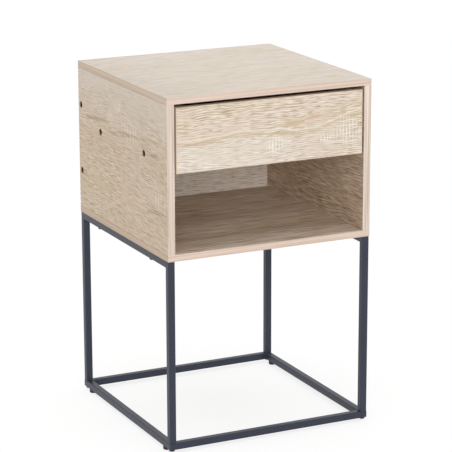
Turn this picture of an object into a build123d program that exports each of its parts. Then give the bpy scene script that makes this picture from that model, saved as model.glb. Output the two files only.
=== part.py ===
from build123d import *
import math
import os

# Side table: an oak-foil box with a drawer over an open shelf, bolted on a square steel tube frame.
# Millimetres. +X is right, +Y is back, +Z is up. The origin is on the floor under the middle.

# Overall sizes
table_width = 400.0
table_depth = 400.0
cabinet_height = 290.0
leg_length = 322.0

# Boards
board = 12.0
side_board = 14.0
back_board = 14.0
edge_band = 1.0
band_round = 0.4
hairline = 0.05
back_inset = 5.0

# Steel frame
tube = 12.7
tube_wall = 1.2
tube_corner = 1.6
frame_inset = 0.5

# Feet under the ring
foot_height = 6.0
foot_radius = 6.8
foot_bevel = 0.8
foot_from_end = 28.0
foot_stem_radius = 3.0
foot_stem_length = 5.0

# Drawer front and the gaps around it
finger_gap = 6.3
front_height = 116.4
front_side_gap = 3.5
front_recess = 0.5

# Deck under the drawer
deck_drop = 116.0
deck_front_gap = 1.5

# Drawer box
drawer_rear_gap = 18.5
drawer_side_height = 80.0
drawer_bottom_thickness = 3.0
groove_depth = 5.0
groove_height = 8.0
groove_play = 0.1
bottom_edge_play = 0.5

# Roller runners
runner_space = 12.7
runner_steel = 1.2
runner_lift = 2.0
track_edge_gap = 0.5
guide_lip = 5.0
guide_lip_gap = 1.0
drawer_lip = 6.7
drawer_wrap_drop = 12.6
drawer_travel = 250.0
stop_height = 2.5
stop_gap = 0.3
rear_stop_height = 11.0

# Rollers and their axles
roller_radius = 9.0
roller_gap = 0.1
roller_from_end = 15.0
roller_edge_round = 0.8
axle_radius = 2.0
axle_bore_gap = 0.05
axle_head_radius = 3.4
axle_head = 0.6
axle_end_gap = 0.3
roller_end_play = 0.2

# Cam fittings and dowels
cam_radius = 5.0
cam_floor = 1.0
cam_setback = 20.0
cam_slot_length = 6.0
cam_slot_width = 1.4
cam_slot_depth = 1.2
cam_bolt_radius = 2.5
cam_bolt_thread = 8.0
cam_bolt_neck_radius = 1.8
cam_bolt_neck_gap = 0.2
top_cam_from_end = 70.0
top_dowel_from_end = 35.0
dowel_radius = 3.0
dowel_in_face = 8.0
dowel_in_edge = 16.0
drawer_cam_from_edge = 18.0

# Screws, bolts and threaded inserts
fit = 0.05
screw_head_radius = 6.2
screw_head_height = 3.0
screw_sink = 1.5
screw_radius = 2.2
screw_length = 40.0
socket_radius = 2.4
socket_floor = 0.8
head_round = 0.8
deck_screw_spacing = 196.0
back_screw_heights = (83.0, 208.5)
bottom_screw_from_end = 30.0
runner_screw_radius = 1.6
runner_screw_head_radius = 2.7
runner_screw_length = 9.0
runner_screw_from_end = 45.0
drawer_back_screw_heights = (30.0, 62.0)
hidden_screw_head_radius = 3.6
nail_radius = 0.8
nail_head_radius = 1.8
nail_head_height = 0.6
nail_length = 14.0
nail_from_side = 33.0
bolt_radius = 3.0
bolt_hole_gap = 0.3
bolt_head_radius = 5.2
bolt_head_height = 2.6
leg_bolt_grip = 12.0
leg_plug_height = 16.0
rail_bolt_from_end = 82.5
insert_radius = 4.5
insert_length = 10.0
insert_grip = 8.5

# Places worked out from the sizes above
half_width = table_width / 2
half_depth = table_depth / 2
inner_half = half_width - side_board
side_mid_x = half_width - side_board / 2
top_cam_y = half_depth - top_cam_from_end
top_dowel_y = half_depth - top_dowel_from_end
bottom_screw_y = half_depth - bottom_screw_from_end
core_width = table_width - 2 * edge_band
core_depth = table_depth - 2 * edge_band
cam_below_bolt = cam_bolt_neck_radius + cam_bolt_neck_gap + cam_floor
top_cam_depth = side_board / 2 + cam_below_bolt
drawer_cam_depth = board / 2 + cam_below_bolt

ring_bottom = foot_height
ring_top = ring_bottom + tube
leg_top = ring_top + leg_length
cabinet_bottom = leg_top + tube
cabinet_top = cabinet_bottom + cabinet_height
shelf_floor = cabinet_bottom + board
ceiling = cabinet_top - board
side_height = ceiling - shelf_floor

tube_inside = tube - 2 * tube_wall
leg_x = half_width - frame_inset - tube / 2
leg_y = half_depth - frame_inset - tube / 2
foot_y = half_depth - frame_inset - foot_from_end
rail_bolt_y = half_depth - rail_bolt_from_end

front_face_y = front_recess - half_depth
front_back_y = front_face_y + board
front_half = inner_half - front_side_gap
front_top = ceiling - finger_gap
front_bottom = front_top - front_height

back_outer_y = half_depth - back_inset
back_inner_y = back_outer_y - back_board
back_mid_y = back_outer_y - back_board / 2

deck_mid_z = cabinet_top - deck_drop
deck_top = deck_mid_z + board / 2
deck_front_y = front_back_y + deck_front_gap
deck_mid_y = (deck_front_y + back_inner_y) / 2

# A runner's height is counted from its track, which stands a little above the deck.
track_bottom = deck_top + runner_lift
track_top = track_bottom + runner_steel
roller_z = track_top + roller_gap + roller_radius
lip_bottom = roller_z + roller_radius + roller_gap
wrap_bottom = lip_bottom - drawer_wrap_drop
drawer_bottom_z = wrap_bottom + runner_steel

drawer_outer_half = inner_half - runner_space
drawer_inner_half = drawer_outer_half - board
nail_x = drawer_inner_half - nail_from_side
drawer_side_mid_x = drawer_outer_half - board / 2
drawer_rear_y = back_inner_y - drawer_rear_gap
drawer_length = drawer_rear_y - front_back_y
drawer_side_top = drawer_bottom_z + drawer_side_height
groove_z = drawer_bottom_z + groove_height
bottom_panel_top = groove_z + drawer_bottom_thickness
bottom_panel_half = drawer_inner_half + groove_depth - bottom_edge_play

front_roller_y = deck_front_y + roller_from_end
rear_roller_y = drawer_rear_y - roller_from_end
track_end_y = rear_roller_y + roller_radius + stop_gap + runner_steel
stop_reach = roller_radius + stop_gap
stop_run = math.sqrt(stop_reach**2 - (roller_z - track_top - stop_height) ** 2)
stop_y = rear_roller_y - drawer_travel - stop_run
roller_room = runner_steel + axle_end_gap + axle_head + roller_end_play
roller_width = runner_space - 2 * roller_room
cabinet_web_x = inner_half - runner_steel
drawer_web_x = drawer_outer_half + runner_steel
cabinet_runner_screw_ys = (deck_front_y + runner_screw_from_end, track_end_y - runner_screw_from_end)
drawer_runner_screw_ys = (deck_front_y + runner_screw_from_end, drawer_rear_y - runner_screw_from_end)

sides = (("left", -1), ("right", 1))
ends = (("front", -1), ("rear", 1))

os.makedirs("parts", exist_ok=True)


def save(piece, name):
    """Name a finished piece and write it."""
    piece.part.label = name
    export_step(piece.part, f"parts/{name}.step")


def bore(planes, radius, depth, start=0.0):
    """Cut a round hole into the current piece along each plane's normal."""
    with Locations(*[plane.offset(start) for plane in planes]):
        Cylinder(radius, depth, align=(Align.CENTER, Align.CENTER, Align.MIN), mode=Mode.SUBTRACT)


def screw_holes(planes, head_radius, radius, length):
    """Cut the seats of sunk screws: head clearance, then shank."""
    bore(planes, head_radius + fit, screw_sink + screw_head_height)
    bore(planes, radius + fit, screw_head_height + length, screw_sink)


def socket_screws(planes, head_radius, head_height, radius, length):
    """Round-headed screws with a hexagon socket; heads start on the planes, shanks follow the normals."""
    with BuildPart() as screws:
        for plane in planes:
            with BuildSketch(plane):
                Circle(head_radius)
            extrude(amount=head_height)
            rim = screws.edges(Select.LAST).filter_by(GeomType.CIRCLE).sort_by_distance(plane.origin)[0]
            fillet(rim, head_round)
            with BuildSketch(plane):
                RegularPolygon(socket_radius, 6)
            extrude(amount=head_height - socket_floor, mode=Mode.SUBTRACT)
            with BuildSketch(plane.offset(head_height)):
                Circle(radius)
            extrude(amount=length)
    return screws


def offset_all(planes, distance):
    """Move every plane along its own normal."""
    return [plane.offset(distance) for plane in planes]


# Fastener places: each plane starts at the surface that the fastener enters, its normal points inward.
deck_screw_places = [
    Plane((x * half_width, deck_mid_y + y * deck_screw_spacing / 2, deck_mid_z), z_dir=(-x, 0, 0))
    for _, x in sides
    for _, y in ends
]
back_screw_places = [
    Plane((x * half_width, back_mid_y, cabinet_bottom + z), z_dir=(-x, 0, 0))
    for _, x in sides
    for z in back_screw_heights
]
bottom_screw_places = [
    Plane((x * side_mid_x, y * bottom_screw_y, cabinet_bottom))
    for _, x in sides
    for y in (-1, 0, 1)
]
rail_bolt_places = [Plane((x * leg_x, y * rail_bolt_y, leg_top)) for _, x in sides for _, y in ends]
leg_bolt_places = [Plane((x * leg_x, y * leg_y, ring_bottom)) for _, x in sides for _, y in ends]
foot_places = [Plane((x * leg_x, y * foot_y, ring_bottom)) for _, x in sides for _, y in ends]
top_cam_places = [
    Plane((x * inner_half, y * top_cam_y, ceiling - cam_setback), z_dir=(x, 0, 0), x_dir=(0, 0, 1))
    for _, x in sides
    for _, y in ends
]
top_bolt_places = [Plane((x * side_mid_x, y * top_cam_y, ceiling)) for _, x in sides for _, y in ends]
top_dowel_places = [Plane((x * side_mid_x, y * top_dowel_y, ceiling)) for _, x in sides for _, y in ends]
drawer_cam_heights = (
    bottom_panel_top + drawer_cam_from_edge,
    drawer_side_top - drawer_cam_from_edge,
)
drawer_cam_places = [
    Plane((x * drawer_inner_half, front_back_y + cam_setback, z), z_dir=(x, 0, 0), x_dir=(0, -1, 0))
    for _, x in sides
    for z in drawer_cam_heights
]
drawer_bolt_places = [
    Plane((x * drawer_side_mid_x, front_back_y, z), z_dir=(0, -1, 0))
    for _, x in sides
    for z in drawer_cam_heights
]
drawer_dowel_places = [
    Plane((x * drawer_side_mid_x, front_back_y, sum(drawer_cam_heights) / 2), z_dir=(0, -1, 0))
    for _, x in sides
]
drawer_screw_places = [
    Plane((x * drawer_outer_half, drawer_rear_y - board / 2, drawer_bottom_z + z), z_dir=(-x, 0, 0))
    for _, x in sides
    for z in drawer_back_screw_heights
]
nail_places = [Plane((x * nail_x, drawer_rear_y - board / 2, groove_z)) for x in (-1, 0, 1)]
cabinet_axle_faces = [
    Plane((x * cabinet_web_x, front_roller_y, roller_z), z_dir=(-x, 0, 0)) for _, x in sides
]
drawer_axle_faces = [
    Plane((x * drawer_web_x, rear_roller_y, roller_z), z_dir=(x, 0, 0)) for _, x in sides
]
cabinet_runner_screw_faces = [
    Plane((x * cabinet_web_x, y, roller_z), z_dir=(x, 0, 0))
    for _, x in sides
    for y in cabinet_runner_screw_ys
]
drawer_runner_screw_faces = [
    Plane((x * drawer_web_x, y, roller_z), z_dir=(-x, 0, 0))
    for _, x in sides
    for y in drawer_runner_screw_ys
]


# Cabinet boards

with BuildPart() as top_panel:
    with BuildSketch(Plane.XY.offset(ceiling)):
        Rectangle(core_width, core_depth)
    extrude(amount=board)
    bore(top_bolt_places, cam_bolt_radius + fit, cam_bolt_thread)
    bore(top_dowel_places, dowel_radius + fit, dowel_in_face)
save(top_panel, "top_panel")

with BuildPart() as bottom_panel:
    with BuildSketch(Plane.XY.offset(cabinet_bottom)):
        Rectangle(core_width, core_depth)
    extrude(amount=board)
    bottom_seats = offset_all(bottom_screw_places, -screw_sink)
    screw_holes(bottom_seats, hidden_screw_head_radius, screw_radius, screw_length)
    bore(rail_bolt_places, insert_radius + fit, insert_length, tube)
save(bottom_panel, "bottom_panel")

for side, x_sign in sides:
    with BuildPart() as side_panel:
        with BuildSketch(Plane.XY.offset(shelf_floor)):
            with Locations((x_sign * side_mid_x, 0)):
                Rectangle(side_board, core_depth)
        extrude(amount=side_height)
        screw_holes(deck_screw_places, screw_head_radius, screw_radius, screw_length)
        screw_holes(back_screw_places, screw_head_radius, screw_radius, screw_length)
        bore(bottom_screw_places, screw_radius + fit, screw_length, screw_head_height)
        bore(top_cam_places, cam_radius + fit, top_cam_depth)
        bore(top_bolt_places, cam_bolt_neck_radius + cam_bolt_neck_gap, cam_setback, -cam_setback)
        bore(top_dowel_places, dowel_radius + fit, dowel_in_edge, -dowel_in_edge)
        bore(cabinet_runner_screw_faces, runner_screw_radius + fit, runner_screw_length, runner_steel)
    save(side_panel, f"{side}_side_panel")

with BuildPart() as back_panel:
    with BuildSketch(Plane.XY.offset(shelf_floor)):
        with Locations((0, back_mid_y)):
            Rectangle(2 * inner_half, back_board)
    extrude(amount=side_height)
    screw_holes(back_screw_places, screw_head_radius, screw_radius, screw_length)
save(back_panel, "back_panel")

with BuildPart() as drawer_deck:
    with BuildSketch(Plane.XY.offset(deck_top - board)):
        with Locations((0, deck_mid_y + edge_band / 2)):
            Rectangle(2 * inner_half, back_inner_y - deck_front_y - edge_band)
    extrude(amount=board)
    screw_holes(deck_screw_places, screw_head_radius, screw_radius, screw_length)
save(drawer_deck, "drawer_deck")


# Edge bands: thin strips glued on the cut edges, trimmed with a small round

for name, level in (("top_edge_bands", ceiling), ("bottom_edge_bands", cabinet_bottom)):
    with BuildPart() as bands:
        with BuildSketch(Plane.XY.offset(level)):
            with GridLocations(0, table_depth - edge_band, 1, 2):
                Rectangle(table_width, edge_band)
            with GridLocations(table_width - edge_band, 0, 2, 1):
                Rectangle(edge_band, core_depth - 2 * hairline)
        extrude(amount=board)
        fillet(bands.edges().filter_by(Axis.X).group_by(Axis.Y)[0], band_round)
        fillet(bands.edges().filter_by(Axis.X).group_by(Axis.Y)[-1], band_round)
        fillet(bands.edges().filter_by(Axis.Y).group_by(Axis.X)[0], band_round)
        fillet(bands.edges().filter_by(Axis.Y).group_by(Axis.X)[-1], band_round)
    save(bands, name)

with BuildPart() as side_edge_bands:
    with BuildSketch(Plane.XY.offset(shelf_floor)):
        with GridLocations(2 * side_mid_x, table_depth - edge_band, 2, 2):
            Rectangle(side_board, edge_band)
    extrude(amount=side_height)
    fillet(side_edge_bands.edges().filter_by(Axis.Z).group_by(Axis.Y)[0], band_round)
    fillet(side_edge_bands.edges().filter_by(Axis.Z).group_by(Axis.Y)[-1], band_round)
save(side_edge_bands, "side_edge_bands")

with BuildPart() as deck_edge_band:
    with BuildSketch(Plane.XY.offset(deck_top - board)):
        with Locations((0, deck_front_y + edge_band / 2)):
            Rectangle(2 * inner_half, edge_band)
    extrude(amount=board)
    fillet(deck_edge_band.edges().filter_by(Axis.X).group_by(Axis.Y)[0], band_round)
save(deck_edge_band, "deck_edge_band")


# Cabinet fittings: sunk socket screws from outside, cams and dowels that hold the top from inside

deck_screws = socket_screws(
    offset_all(deck_screw_places, screw_sink),
    screw_head_radius,
    screw_head_height,
    screw_radius,
    screw_length,
)
save(deck_screws, "deck_screws")

back_panel_screws = socket_screws(
    offset_all(back_screw_places, screw_sink),
    screw_head_radius,
    screw_head_height,
    screw_radius,
    screw_length,
)
save(back_panel_screws, "back_panel_screws")

bottom_panel_screws = socket_screws(
    bottom_screw_places, hidden_screw_head_radius, screw_head_height, screw_radius, screw_length
)
save(bottom_panel_screws, "bottom_panel_screws")


def cams(places, depth):
    """Turned cam locks, each with a driver slot and a cross hole for its bolt."""
    with BuildPart() as locks:
        for place in places:
            with BuildSketch(place):
                Circle(cam_radius)
            extrude(amount=depth)
            with BuildSketch(place):
                Rectangle(cam_slot_length, cam_slot_width)
            extrude(amount=cam_slot_depth, mode=Mode.SUBTRACT)
            cross_hole = Plane(place.offset(depth - cam_below_bolt).origin, z_dir=place.x_dir)
            bore([cross_hole], cam_bolt_neck_radius + cam_bolt_neck_gap, cam_radius)
    return locks


def cam_bolts(places):
    """Cam bolts: thread along the normal, neck back to the middle of the cam."""
    with BuildPart() as bolts:
        for place in places:
            with BuildSketch(place):
                Circle(cam_bolt_radius)
            extrude(amount=cam_bolt_thread)
            with BuildSketch(place):
                Circle(cam_bolt_neck_radius)
            extrude(amount=-cam_setback)
    return bolts


def dowels(places):
    """Beech dowels across a joint, as plain pins."""
    with BuildPart() as pins:
        for place in places:
            with BuildSketch(place.offset(-dowel_in_edge)):
                Circle(dowel_radius)
            extrude(amount=dowel_in_edge + dowel_in_face)
    return pins


save(cams(top_cam_places, top_cam_depth), "cabinet_cams")
save(cam_bolts(top_bolt_places), "cabinet_cam_bolts")
save(dowels(top_dowel_places), "cabinet_dowels")


# Roller runners: the cabinet member carries the front roller, the drawer member the rear one

for side, x_sign in sides:
    wall_x = x_sign * inner_half
    with BuildPart() as cabinet_runner:
        with BuildSketch(Plane.XZ.offset(-deck_front_y)):
            with BuildLine():
                Polyline(
                    (wall_x, track_bottom),
                    (wall_x - x_sign * (runner_space - runner_steel - track_edge_gap), track_bottom),
                    (wall_x - x_sign * (runner_space - runner_steel - track_edge_gap), track_top),
                    (wall_x - x_sign * runner_steel, track_top),
                    (wall_x - x_sign * runner_steel, lip_bottom + guide_lip_gap),
                    (wall_x - x_sign * guide_lip, lip_bottom + guide_lip_gap),
                    (wall_x - x_sign * guide_lip, lip_bottom + guide_lip_gap + runner_steel),
                    (wall_x, lip_bottom + guide_lip_gap + runner_steel),
                    close=True,
                )
            make_face()
        extrude(amount=deck_front_y - track_end_y)
        tab_x = wall_x - x_sign * runner_space / 2
        tab_width = runner_space - 2 * runner_steel - 2 * track_edge_gap
        with BuildSketch(Plane.XY.offset(track_top)):
            with Locations((tab_x, stop_y - runner_steel / 2)):
                Rectangle(tab_width, runner_steel)
        extrude(amount=stop_height)
        with BuildSketch(Plane.XY.offset(track_top)):
            with Locations((tab_x, track_end_y - runner_steel / 2)):
                Rectangle(tab_width, runner_steel)
        extrude(amount=rear_stop_height)
        bore(cabinet_axle_faces, axle_radius + fit, runner_steel, -runner_steel)
        for y in cabinet_runner_screw_ys:
            with BuildSketch(Plane((wall_x, y, roller_z), z_dir=(-x_sign, 0, 0))):
                Circle(runner_screw_radius + fit)
            with BuildSketch(Plane((wall_x - x_sign * runner_steel, y, roller_z), z_dir=(-x_sign, 0, 0))):
                Circle(runner_screw_head_radius + fit)
            loft(mode=Mode.SUBTRACT)
    save(cabinet_runner, f"{side}_cabinet_runner")

    side_face_x = x_sign * drawer_outer_half
    web_x = side_face_x + x_sign * runner_steel
    with BuildPart() as drawer_runner:
        with BuildSketch(Plane.XZ.offset(-deck_front_y)):
            with BuildLine():
                Polyline(
                    (side_face_x - x_sign * board, wrap_bottom),
                    (web_x, wrap_bottom),
                    (web_x, lip_bottom),
                    (side_face_x + x_sign * drawer_lip, lip_bottom),
                    (side_face_x + x_sign * drawer_lip, lip_bottom + runner_steel),
                    (side_face_x, lip_bottom + runner_steel),
                    (side_face_x, drawer_bottom_z),
                    (side_face_x - x_sign * board, drawer_bottom_z),
                    close=True,
                )
            make_face()
        extrude(amount=deck_front_y - drawer_rear_y)
        bore(drawer_axle_faces, axle_radius + fit, runner_steel, -runner_steel)
        for y in drawer_runner_screw_ys:
            with BuildSketch(Plane((side_face_x, y, roller_z), z_dir=(x_sign, 0, 0))):
                Circle(runner_screw_radius + fit)
            with BuildSketch(Plane((web_x, y, roller_z), z_dir=(x_sign, 0, 0))):
                Circle(runner_screw_head_radius + fit)
            loft(mode=Mode.SUBTRACT)
    save(drawer_runner, f"{side}_drawer_runner")

    for end, roller_y in (("front", front_roller_y), ("rear", rear_roller_y)):
        with BuildPart() as roller:
            roller_face_x = wall_x - x_sign * roller_room
            with BuildSketch(Plane((roller_face_x, roller_y, roller_z), z_dir=(-x_sign, 0, 0))):
                Circle(roller_radius)
                Circle(axle_radius + axle_bore_gap, mode=Mode.SUBTRACT)
            extrude(amount=roller_width)
            rims = roller.edges().filter_by(GeomType.CIRCLE).sort_by(SortBy.RADIUS)[-2:]
            fillet(rims, roller_edge_round)
        save(roller, f"{side}_{end}_roller")


def roller_axles(web_faces):
    """Riveted axles: a tail in the web, a shoulder on its face, the bearing pin and an outer head."""
    with BuildPart() as axles:
        for face in web_faces:
            with BuildSketch(face):
                Circle(axle_radius)
            extrude(amount=-(runner_steel - fit))
            with BuildSketch(face):
                Circle(axle_head_radius)
            extrude(amount=axle_end_gap + axle_head)
            with BuildSketch(face):
                Circle(axle_radius)
            extrude(amount=axle_end_gap + axle_head + 2 * roller_end_play + roller_width)
            with BuildSketch(face.offset(axle_end_gap + axle_head + 2 * roller_end_play + roller_width)):
                Circle(axle_head_radius)
            extrude(amount=axle_head)
    return axles


def sunk_screws(faces):
    """Small countersunk screws, heads flush with the runner's web."""
    with BuildPart() as screws:
        for face in faces:
            with BuildSketch(face):
                Circle(runner_screw_head_radius)
            with BuildSketch(face.offset(runner_steel)):
                Circle(runner_screw_radius)
            loft()
            with BuildSketch(face.offset(runner_steel)):
                Circle(runner_screw_radius)
            extrude(amount=runner_screw_length - fit)
    return screws


save(roller_axles(cabinet_axle_faces), "cabinet_roller_axles")
save(roller_axles(drawer_axle_faces), "drawer_roller_axles")
save(sunk_screws(cabinet_runner_screw_faces), "cabinet_runner_screws")
save(sunk_screws(drawer_runner_screw_faces), "drawer_runner_screws")


# Drawer

with BuildPart() as drawer_front:
    with BuildSketch(Plane.XZ.offset(-front_back_y)):
        with Locations((0, (front_top + front_bottom) / 2)):
            Rectangle(2 * (front_half - edge_band), front_height - 2 * edge_band)
    extrude(amount=board)
    with BuildSketch(Plane.XZ.offset(-front_back_y)):
        with Locations((0, groove_z + (drawer_bottom_thickness + groove_play) / 2)):
            Rectangle(2 * (bottom_panel_half + bottom_edge_play), drawer_bottom_thickness + groove_play)
    extrude(amount=groove_depth, mode=Mode.SUBTRACT)
    bore(drawer_bolt_places, cam_bolt_radius + fit, cam_bolt_thread)
    bore(drawer_dowel_places, dowel_radius + fit, dowel_in_face)
save(drawer_front, "drawer_front")

with BuildPart() as drawer_front_edge_bands:
    with BuildSketch(Plane.XZ.offset(-front_back_y)):
        with Locations((0, (front_top + front_bottom) / 2)):
            with GridLocations(0, front_height - edge_band, 1, 2):
                Rectangle(2 * front_half, edge_band)
            with GridLocations(2 * front_half - edge_band, 0, 2, 1):
                Rectangle(edge_band, front_height - 2 * edge_band - 2 * hairline)
    extrude(amount=board)
    fillet(drawer_front_edge_bands.edges().filter_by(Axis.X).group_by(Axis.Z)[0], band_round)
    fillet(drawer_front_edge_bands.edges().filter_by(Axis.X).group_by(Axis.Z)[-1], band_round)
    fillet(drawer_front_edge_bands.edges().filter_by(Axis.Z).group_by(Axis.X)[0], band_round)
    fillet(drawer_front_edge_bands.edges().filter_by(Axis.Z).group_by(Axis.X)[-1], band_round)
save(drawer_front_edge_bands, "drawer_front_edge_bands")

for side, x_sign in sides:
    with BuildPart() as drawer_side:
        with BuildSketch(Plane.XY.offset(drawer_bottom_z)):
            with Locations((x_sign * drawer_side_mid_x, front_back_y + drawer_length / 2)):
                Rectangle(board, drawer_length)
        extrude(amount=drawer_side_height)
        with BuildSketch(Plane.XY.offset(groove_z)):
            groove_mid_x = x_sign * (drawer_inner_half + groove_depth / 2)
            with Locations((groove_mid_x, front_back_y + drawer_length / 2)):
                Rectangle(groove_depth, drawer_length)
        extrude(amount=drawer_bottom_thickness + groove_play, mode=Mode.SUBTRACT)
        bore(drawer_cam_places, cam_radius + fit, drawer_cam_depth)
        bore(drawer_bolt_places, cam_bolt_neck_radius + cam_bolt_neck_gap, cam_setback, -cam_setback)
        bore(drawer_dowel_places, dowel_radius + fit, dowel_in_edge, -dowel_in_edge)
        screw_holes(drawer_screw_places, hidden_screw_head_radius, screw_radius, screw_length)
        bore(drawer_runner_screw_faces, runner_screw_radius + fit, runner_screw_length, runner_steel)
    save(drawer_side, f"drawer_{side}_side")

with BuildPart() as drawer_back:
    with BuildSketch(Plane.XY.offset(bottom_panel_top)):
        with Locations((0, drawer_rear_y - board / 2)):
            Rectangle(2 * drawer_inner_half, board)
    extrude(amount=drawer_side_top - bottom_panel_top)
    screw_holes(drawer_screw_places, hidden_screw_head_radius, screw_radius, screw_length)
    bore(nail_places, nail_radius + fit, nail_length)
save(drawer_back, "drawer_back")

with BuildPart() as drawer_bottom:
    with BuildSketch(Plane.XY.offset(groove_z)):
        bottom_start_y = front_back_y - groove_depth + bottom_edge_play
        with Locations((0, (bottom_start_y + drawer_rear_y) / 2)):
            Rectangle(2 * bottom_panel_half, drawer_rear_y - bottom_start_y)
    extrude(amount=drawer_bottom_thickness)
    bore(nail_places, nail_radius + fit, drawer_bottom_thickness)
save(drawer_bottom, "drawer_bottom")

save(cams(drawer_cam_places, drawer_cam_depth), "drawer_cams")
save(cam_bolts(drawer_bolt_places), "drawer_cam_bolts")
save(dowels(drawer_dowel_places), "drawer_dowels")

drawer_back_screws = socket_screws(
    offset_all(drawer_screw_places, screw_sink),
    hidden_screw_head_radius,
    screw_head_height,
    screw_radius,
    screw_length,
)
save(drawer_back_screws, "drawer_back_screws")

with BuildPart() as drawer_bottom_nails:
    for place in nail_places:
        with BuildSketch(place):
            Circle(nail_head_radius)
        extrude(amount=-nail_head_height)
        with BuildSketch(place):
            Circle(nail_radius)
        extrude(amount=nail_length)
save(drawer_bottom_nails, "drawer_bottom_nails")


# Steel frame: two welded side hoops of square tube, standing on a mitred ring

for side, x_sign in sides:
    for end, y_sign in ends:
        with BuildPart() as leg:
            with BuildSketch(Plane.XY.offset(ring_top)):
                with Locations((x_sign * leg_x, y_sign * leg_y)):
                    RectangleRounded(tube, tube, tube_corner)
                    Rectangle(tube_inside, tube_inside, mode=Mode.SUBTRACT)
            extrude(amount=leg_length + tube)
            hoop_mitre = Plane((0, y_sign * leg_y, leg_top + tube / 2), z_dir=(0, y_sign, -1))
            split(bisect_by=hoop_mitre, keep=Keep.TOP)
        save(leg, f"{side}_{end}_leg")

    with BuildPart() as top_rail:
        with BuildSketch(Plane.XZ.offset(-leg_y - tube / 2)):
            with Locations((x_sign * leg_x, leg_top + tube / 2)):
                RectangleRounded(tube, tube, tube_corner)
                Rectangle(tube_inside, tube_inside, mode=Mode.SUBTRACT)
        extrude(amount=2 * leg_y + tube)
        for _, y_sign in ends:
            hoop_mitre = Plane((0, y_sign * leg_y, leg_top + tube / 2), z_dir=(0, -y_sign, 1))
            split(bisect_by=hoop_mitre, keep=Keep.TOP)
        bore(rail_bolt_places, bolt_radius + bolt_hole_gap, tube)
    save(top_rail, f"{side}_top_rail")

    with BuildPart() as ring_side_rail:
        with BuildSketch(Plane.XZ.offset(-leg_y - tube / 2)):
            with Locations((x_sign * leg_x, ring_bottom + tube / 2)):
                RectangleRounded(tube, tube, tube_corner)
                Rectangle(tube_inside, tube_inside, mode=Mode.SUBTRACT)
        extrude(amount=2 * leg_y + tube)
        for _, y_sign in ends:
            ring_mitre = Plane((x_sign * leg_x, y_sign * leg_y, 0), z_dir=(x_sign, -y_sign, 0))
            split(bisect_by=ring_mitre, keep=Keep.TOP)
        bore(leg_bolt_places, bolt_radius + bolt_hole_gap, tube)
        bore(foot_places, foot_stem_radius + fit, tube_wall)
    save(ring_side_rail, f"ring_{side}_rail")

for end, y_sign in ends:
    with BuildPart() as ring_cross_rail:
        with BuildSketch(Plane.YZ.offset(-leg_x - tube / 2)):
            with Locations((y_sign * leg_y, ring_bottom + tube / 2)):
                RectangleRounded(tube, tube, tube_corner)
                Rectangle(tube_inside, tube_inside, mode=Mode.SUBTRACT)
        extrude(amount=2 * leg_x + tube)
        for _, x_sign in sides:
            ring_mitre = Plane((x_sign * leg_x, y_sign * leg_y, 0), z_dir=(-x_sign, y_sign, 0))
            split(bisect_by=ring_mitre, keep=Keep.TOP)
        bore(leg_bolt_places, bolt_radius + bolt_hole_gap, tube)
    save(ring_cross_rail, f"ring_{end}_rail")

with BuildPart() as leg_nut_plugs:
    with BuildSketch(Plane.XY.offset(ring_top)):
        with GridLocations(2 * leg_x, 2 * leg_y, 2, 2):
            Rectangle(tube_inside - 2 * fit, tube_inside - 2 * fit)
    extrude(amount=leg_plug_height)
    bore(leg_bolt_places, bolt_radius + fit, leg_plug_height, tube)
save(leg_nut_plugs, "leg_nut_plugs")

leg_bolts = socket_screws(
    offset_all(leg_bolt_places, -bolt_head_height),
    bolt_head_radius,
    bolt_head_height,
    bolt_radius,
    tube + leg_bolt_grip,
)
save(leg_bolts, "leg_bolts")

cabinet_bolts = socket_screws(
    offset_all(rail_bolt_places, -bolt_head_height),
    bolt_head_radius,
    bolt_head_height,
    bolt_radius,
    tube + insert_grip,
)
save(cabinet_bolts, "cabinet_bolts")

with BuildPart() as cabinet_bolt_inserts:
    for place in offset_all(rail_bolt_places, tube):
        with BuildSketch(place):
            Circle(insert_radius)
            Circle(bolt_radius + fit, mode=Mode.SUBTRACT)
        extrude(amount=insert_length)
save(cabinet_bolt_inserts, "cabinet_bolt_inserts")

for side, x_sign in sides:
    for end, y_sign in ends:
        with BuildPart() as foot:
            with BuildSketch(Plane.XY):
                with Locations((x_sign * leg_x, y_sign * foot_y)):
                    Circle(foot_radius)
            extrude(amount=foot_height)
            chamfer(foot.edges().group_by(Axis.Z)[0], foot_bevel)
            with BuildSketch(Plane.XY.offset(foot_height)):
                with Locations((x_sign * leg_x, y_sign * foot_y)):
                    Circle(foot_stem_radius)
            extrude(amount=foot_stem_length)
        save(foot, f"{side}_{end}_foot")
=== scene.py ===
import math

import bpy
from mathutils import Matrix, Vector


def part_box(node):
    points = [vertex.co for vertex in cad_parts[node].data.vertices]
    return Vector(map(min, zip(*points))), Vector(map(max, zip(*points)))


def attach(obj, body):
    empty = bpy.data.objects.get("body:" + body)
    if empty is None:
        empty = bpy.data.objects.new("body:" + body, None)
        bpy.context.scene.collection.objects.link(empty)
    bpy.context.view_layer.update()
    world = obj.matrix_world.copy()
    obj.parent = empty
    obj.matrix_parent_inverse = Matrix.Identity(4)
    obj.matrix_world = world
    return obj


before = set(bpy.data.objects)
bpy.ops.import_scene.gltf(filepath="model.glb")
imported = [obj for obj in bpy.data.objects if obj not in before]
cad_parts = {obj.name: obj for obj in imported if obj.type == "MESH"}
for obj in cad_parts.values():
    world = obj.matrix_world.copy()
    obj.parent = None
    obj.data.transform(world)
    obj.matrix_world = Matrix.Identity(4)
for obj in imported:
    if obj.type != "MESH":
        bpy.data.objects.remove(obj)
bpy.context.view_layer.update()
bpy.context.scene.view_settings.view_transform = "Standard"


# Steel frame: two side hoops on a lower ring, of 12.7 mm square tube sawn to 45 degrees and welded.
# It is powder coated after welding. The cured polyester is a satin bluish charcoal with a fine
# orange peel, so that flat faces look soft and grazing ones pick up the pale room.

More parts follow.
